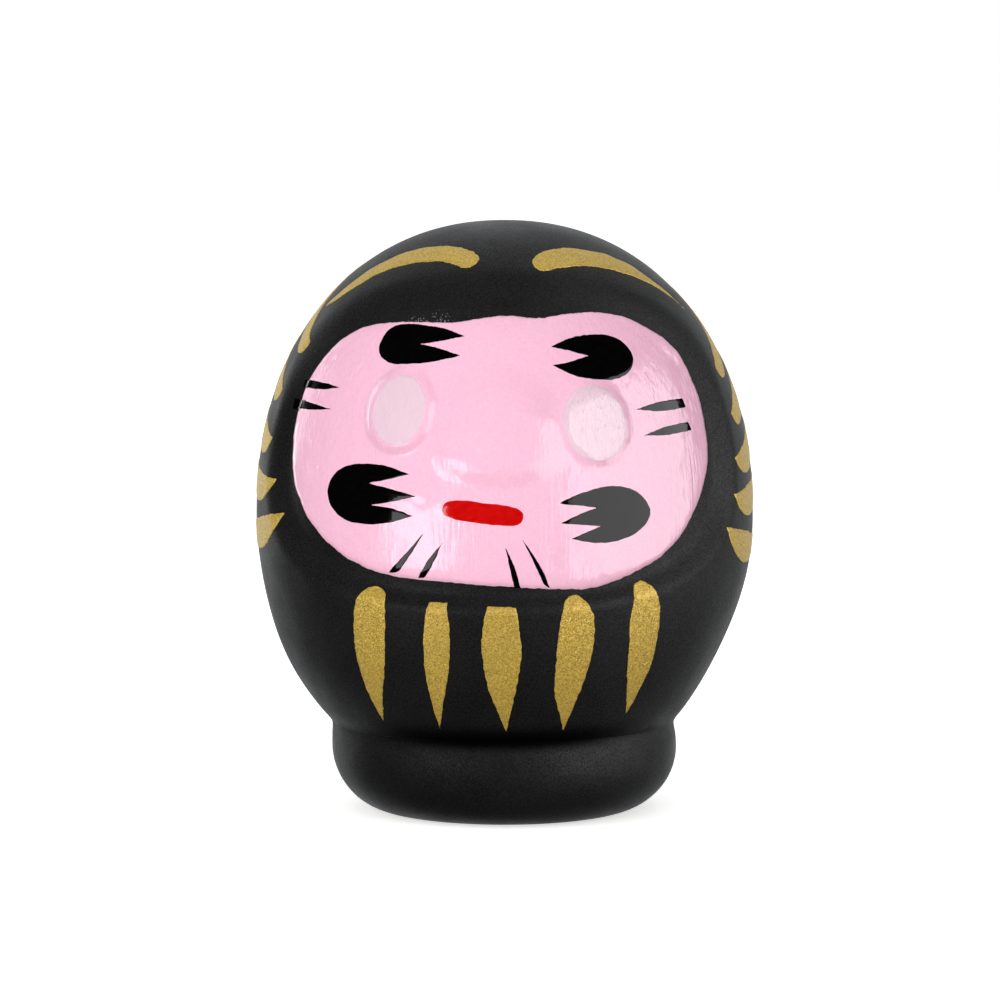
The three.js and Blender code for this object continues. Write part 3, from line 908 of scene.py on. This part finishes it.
def eye_enamel():
    """Off-white paint, dabbed on in slanted strokes, with painted shade in dark slanted streaks across the
    right eye's reflection.
    """
    paint = Paint("eye_enamel")
    dabs = paint.noise(1.0, detail=2, rough=0.5, where=paint.stretched((4.0, 4.0, 0.3), (0, 9, 0)))
    paint.bump(paint.remap(dabs, 0.5, 0.58), 0.02)
    paint.bump(paint.noise(1.2, detail=2), 0.02)
    paint.bump(paint.noise(0.15, detail=2), 0.002)
    base = paint.blend(paint.noise(0.15, detail=2), *EYE_PAINT)
    # Painted shade: dark slanted streaks on the right eye, where its reflection is broken up.
    lines = paint.noise(1.0, detail=1, where=paint.stretched((5.0, 5.0, 0.14), (0, 9, 0)))
    painted_streak_shade = paint.times(paint.remap(lines, 0.62, 0.68), paint.near(spot_on_skin(22, 41.8), 2.7))
    base = paint.blend(paint.times(painted_streak_shade, 0.35), base, EYE_STREAK_SHADE)
    return paint.finish(Base_Color=base, Roughness=0.13, Specular_IOR_Level=0.6)


def gloss(name, dark, light, shine):
    """Gloss paint for a single brush stroke, a little uneven."""
    paint = Paint(name)
    hairs = paint.noise(1.0, detail=2, where=paint.stretched((3.0, 3.0, 1.2), (0, 70, 0)))
    paint.bump(hairs, 0.004)
    paint.bump(paint.noise(0.7, detail=2), 0.003)
    base = paint.blend(paint.remap(hairs, 0.3, 0.7), dark, light)
    return paint.finish(Base_Color=base, Roughness=0.07, Specular_IOR_Level=shine)


def gold_paint():
    """Bronze powder in a thin binder: flakes that each face their own way, and pits where black shows."""
    paint = Paint("gold_paint")
    flake = paint.cells(0.09, output=1)
    parts = paint.node("SeparateXYZ", Vector=flake)
    lean = paint.node("VectorMath", operation="SUBTRACT", _0=flake, _1=(0.5, 0.5, 0.5))
    lean = paint.node("VectorMath", operation="SCALE", Vector=lean, Scale=0.5)
    paint.bump(paint.noise(0.22, detail=3, rough=0.6), 0.03)
    tilted = paint.node("VectorMath", operation="ADD", _0=paint.relief, _1=lean)
    paint.relief = paint.node("VectorMath", operation="NORMALIZE", _0=tilted)
    pits = paint.remap(paint.noise(0.2, detail=3, rough=0.7), 0.36, 0.46, 1.0, 0.0)
    grain = paint.remap(parts, 0.0, 1.0)
    base = paint.blend(grain, *GOLD_FLAKES)
    base = paint.blend(paint.times(pits, 0.5), base, GOLD_PITS)
    metal = paint.remap(pits, 0.0, 1.0, 0.2, 0.05)
    return paint.finish(Base_Color=base, Metallic=metal, Roughness=0.45, Specular_IOR_Level=0.32)


def paper_pulp():
    """Bare grey-brown pulp inside the shell, with fibres."""
    paint = Paint("paper_pulp")
    pulp = paint.noise(0.8, detail=6, rough=0.7)
    fibres = paint.noise(1.0, detail=3, where=paint.stretched((2.5, 0.5, 1.2), (30, 50, 10)))
    paint.bump(pulp, 0.25)
    paint.bump(fibres, 0.08)
    base = paint.blend(paint.remap(pulp, 0.3, 0.7), *PULP)
    return paint.finish(Base_Color=base, Roughness=0.95, Specular_IOR_Level=0.2)


def bare_clay():
    """Unfired clay in the recess of the weight, with grit and tool marks."""
    paint = Paint("bare_clay")
    grit = paint.noise(0.35, detail=5, rough=0.7)
    paint.bump(grit, 0.08)
    paint.bump(paint.noise(2.5, detail=2), 0.12)
    base = paint.blend(paint.remap(grit, 0.3, 0.7), *CLAY)
    return paint.finish(Base_Color=base, Roughness=0.9, Specular_IOR_Level=0.25)


def hide_glue():
    """Dried amber glue with tiny bubbles."""
    paint = Paint("hide_glue")
    paint.bump(paint.noise(1.0, detail=3), 0.08)
    bubbles = paint.remap(paint.cells(0.5), 0.08, 0.16, 1.0, 0.0)
    base = paint.blend(paint.times(bubbles, 0.4), *GLUE)
    return paint.finish(Base_Color=base, Roughness=0.25, Coat_Weight=0.4)


# ---- The doll ----

BLACK = matte_black("black_shell", SHELL_BLACK)
BLACK_BASE = matte_black("black_clay", SHADED_CLAY_BLACK)
PINK = pink_enamel()
EYE_WHITE = eye_enamel()
BLACK_GLOSS = gloss("black_enamel", *BLACK_STROKES, shine=0.22)
RED_GLOSS = gloss("red_enamel", *RED_STROKES, shine=0.5)
GOLD = gold_paint()

shell_piece(BLACK, paper_pulp())
base_piece(BLACK_BASE, bare_clay())
glue_piece(hide_glue())

PAINTS = {
    "brow": (BLACK_GLOSS, "black_enamel", STROKE),
    "moustache": (BLACK_GLOSS, "black_enamel", STROKE),
    "temple_whisker": (BLACK_GLOSS, "black_enamel", STROKE),
    "chin_whisker": (BLACK_GLOSS, "black_enamel", STROKE),
    "mouth": (RED_GLOSS, "red_enamel", STROKE),
    "eye": (EYE_WHITE, "eye_white", STROKE),
    "gold": (GOLD, "gold_paint", THIN),
}

paint_piece("face_enamel", PINK, ENAMEL, WIDE_MESH, 0.03, 50)
for number, node in enumerate(sorted(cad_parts)):
    kind = next((kind for kind in PAINTS if node.startswith(kind)), None)
    if kind:
        material, slot, coat = PAINTS[kind]
        on_enamel = kind != "gold"
        wobble = 0.018 if on_enamel else 0.035
        paint_piece(node, material, coat, FINE_MESH, wobble, 100 + 7 * number, on_enamel)

# ---- Studio ----

CENTRE = Vector((-0.45 * MM, 0, HEIGHT * 0.525 * MM))
CAMERA = {"elevation": 5, "distance": 440, "lens": 155.4, "sensor": 36}


def toward(azimuth, elevation):
    """Unit vector from the doll towards an azimuth from the front, positive towards +X, and an elevation."""
    a, e = math.radians(azimuth), math.radians(elevation)
    return Vector((math.sin(a) * math.cos(e), -math.cos(a) * math.cos(e), math.sin(e)))


def looking_back(position, target):
    return (target - position).to_track_quat("-Z", "Y")


def softbox(name, azimuth, elevation, distance, size, radiance, seen_in_gloss=True, lights_matte=True):
    """A rectangular light that faces the doll. Its radiance is that of a white surface in full light."""
    data = bpy.data.lights.new(name, "AREA")
    data.shape = "RECTANGLE"
    width, height = size
    data.size = width * MM
    data.size_y = height * MM
    data.energy = radiance * 4 * width * height * MM * MM
    light = bpy.data.objects.new(name, data)
    light.location = CENTRE + toward(azimuth, elevation) * distance * MM
    light.rotation_mode = "QUATERNION"
    light.rotation_quaternion = looking_back(light.location, CENTRE)
    light.visible_camera = False
    light.visible_glossy = seen_in_gloss
    light.visible_diffuse = lights_matte
    bpy.context.scene.collection.objects.link(light)


# The first three are seen in glossy paint only, and the fills light matte paint only.
softbox("key_right", 65, 4.5, 300, (420, 345), 3.2, lights_matte=False)
softbox("card_left", -35.5, -8, 90, (40, 32), 4.0, lights_matte=False)
softbox("strip_left", -132, 8, 300, (60, 200), 2.6, lights_matte=False)
softbox("overhead", 180, 68, 420, (420, 300), 0.8)
softbox("fill", 0, 30, 600, (1500, 700), 1.38, seen_in_gloss=False)
softbox("fill_left", -70, 10, 600, (500, 500), 1.1, seen_in_gloss=False)


def studio_world():
    """White all round for the camera. As light, it is bright behind the doll and dim in front of it."""
    world = bpy.data.worlds.new("studio")
    bpy.context.scene.world = world
    world.use_nodes = True
    world.node_tree.nodes.clear()
    sky = Nodes(world.node_tree)
    behind = sky.node("SeparateXYZ", output=1, Vector=sky.node("TexCoord"))
    strength = sky.node(
        "MapRange", interpolation_type="SMOOTHSTEP", Value=behind, _1=0.45, _2=0.9, _3=0.01, _4=1.15
    )
    light = sky.node("Background", Color=(0.94, 0.97, 1.0, 1), Strength=strength)
    backdrop = sky.node("Background", Color=(1, 1, 1, 1))
    seen = sky.node("MixShader", _0=sky.node("LightPath"), _1=light, _2=backdrop)
    out = world.node_tree.nodes.new("ShaderNodeOutputWorld")
    sky.put(out.inputs["Surface"], seen)


def floor_piece():
    """A wide pale table, lifted for the camera until it melts into the backdrop away from the doll."""
    half = 4000
    corners = [(-half, -half, -SEAM), (half, -half, -SEAM), (half, half, -SEAM), (-half, half, -SEAM)]
    mesh = bpy.data.meshes.new("floor")
    mesh.from_pydata([tuple(c * MM for c in corner) for corner in corners], [], [(0, 1, 2, 3)])
    floor = bpy.data.objects.new("floor", mesh)
    bpy.context.scene.collection.objects.link(floor)
    paint = Paint("floor")
    away = paint.node("VectorMath", output=1, operation="LENGTH", _0=paint.place)
    lift = paint.node("MapRange", Value=away, _1=30, _2=400, _3=0.64, _4=1.0)
    material = paint.finish(
        Base_Color=(0.93, 0.925, 0.915, 1),
        Roughness=0.8,
        Specular_IOR_Level=0.1,
        Emission_Color=(1, 0.995, 0.985, 1),
        Emission_Strength=paint.times(paint.node("LightPath"), lift),
    )
    mesh.materials.append(material)
    floor.visible_glossy = False


def camera():
    """At the height of a seated viewer who looks at the doll's front from a few degrees above it."""
    data = bpy.data.cameras.new("camera")
    data.sensor_width = CAMERA["sensor"]
    data.lens = CAMERA["lens"]
    data.clip_start = 0.01
    data.clip_end = 20
    view = bpy.data.objects.new("camera", data)
    view.location = CENTRE + toward(0, CAMERA["elevation"]) * CAMERA["distance"] * MM
    view.rotation_mode = "QUATERNION"
    view.rotation_quaternion = looking_back(view.location, CENTRE)
    bpy.context.scene.collection.objects.link(view)
    bpy.context.scene.camera = view


studio_world()
floor_piece()
camera()
bpy.context.scene.view_settings.view_transform = "Standard"
